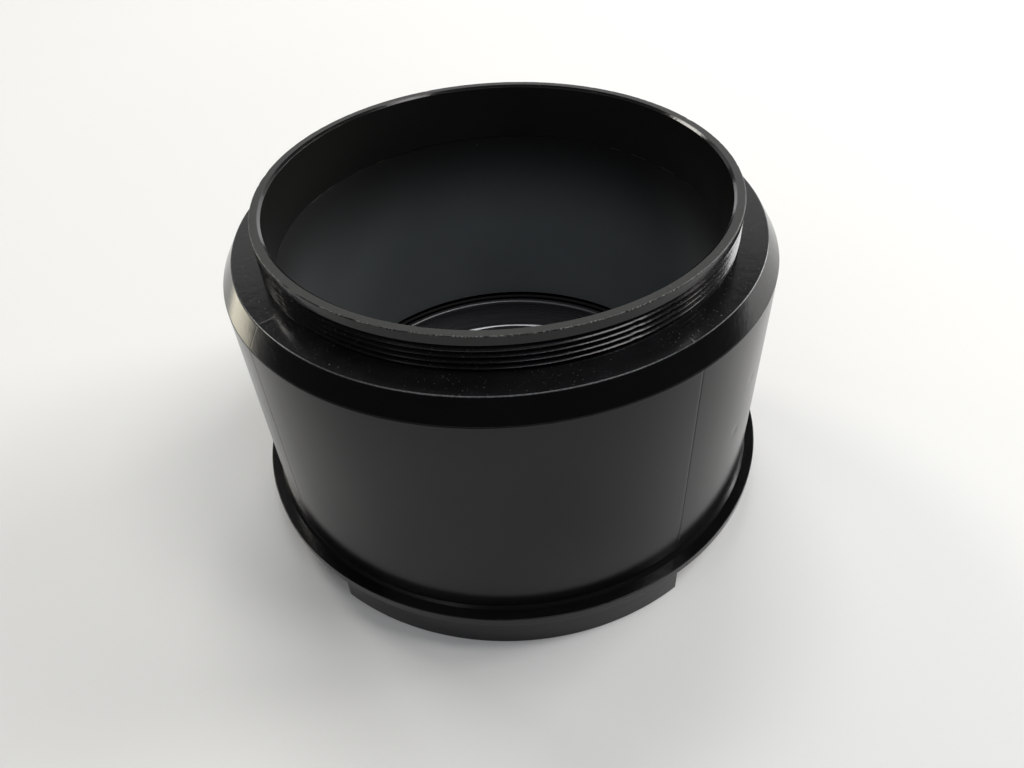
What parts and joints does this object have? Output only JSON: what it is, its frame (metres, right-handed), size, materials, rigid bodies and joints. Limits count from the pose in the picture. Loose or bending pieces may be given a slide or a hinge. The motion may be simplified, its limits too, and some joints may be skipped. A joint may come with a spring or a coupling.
{
  "type": "barlow lens",
  "caption": "Short black Barlow lens tube with a male filter thread, a wide bore, an unscrewing negative lens cell and a three-lug bayonet foot.",
  "frame": {"origin": "centre of the foot plane, on the optical axis", "axes": "+Z along the optical axis, from the bayonet foot to the front thread; -Y towards the lug that faces the viewer"},
  "size_m": [0.071, 0.071, 0.0447],
  "materials": {
    "matte_black_plastic": "fine moulded texture",
    "gloss_black_plastic": "gloss moulded",
    "liner_matte_black": "matte anti-reflection",
    "cell_black_anodised": "black anodised, turned",
    "optical_glass": "polished, coated",
    "screw_steel": "blackened",
    "seal_rubber": "matte"
  },
  "bodies": {
    "barrel": {"barrel_sleeve": "matte_black_plastic", "front_thread_ring": "gloss_black_plastic", "baffle_tube": "liner_matte_black", "bayonet_ring": "gloss_black_plastic", "flange_screw_1": "screw_steel", "flange_screw_2": "screw_steel", "flange_screw_3": "screw_steel", "bayonet_stop_pin": "screw_steel", "light_seal_ring": "seal_rubber"},
    "cell_glass": {"rear_element": "optical_glass", "element_spacer": "cell_black_anodised", "front_element": "optical_glass"},
    "cell": {"lens_cell": "cell_black_anodised"},
    "cushion": {"cushion_ring": "seal_rubber"},
    "retainer": {"retaining_ring": "cell_black_anodised"}
  },
  "joints": [
    {"name": "cell_travel", "type": "slide", "parent": "barrel", "child": "cell_glass", "axis": [0, 0, 1], "range_m": [0, 0.0045]},
    {"name": "cell_turn", "type": "hinge", "parent": "cell_glass", "child": "cell", "pos_m": [0, 0, 0.0006], "axis": [0, 0, 1], "range_deg": [0, 2160]},
    {"name": "retainer_travel", "type": "slide", "parent": "cell", "child": "cushion", "axis": [0, 0, 1], "range_m": [0, 0.0015]},
    {"name": "retainer_turn", "type": "hinge", "parent": "cushion", "child": "retainer", "pos_m": [0, 0, 0.0066], "axis": [0, 0, 1], "range_deg": [0, 720]}
  ],
  "couplings": [
    {"joint": "cell_travel", "follows": "cell_turn", "m_per_rad": 0.00011937},
    {"joint": "retainer_travel", "follows": "retainer_turn", "m_per_rad": 0.00011937}
  ]
}
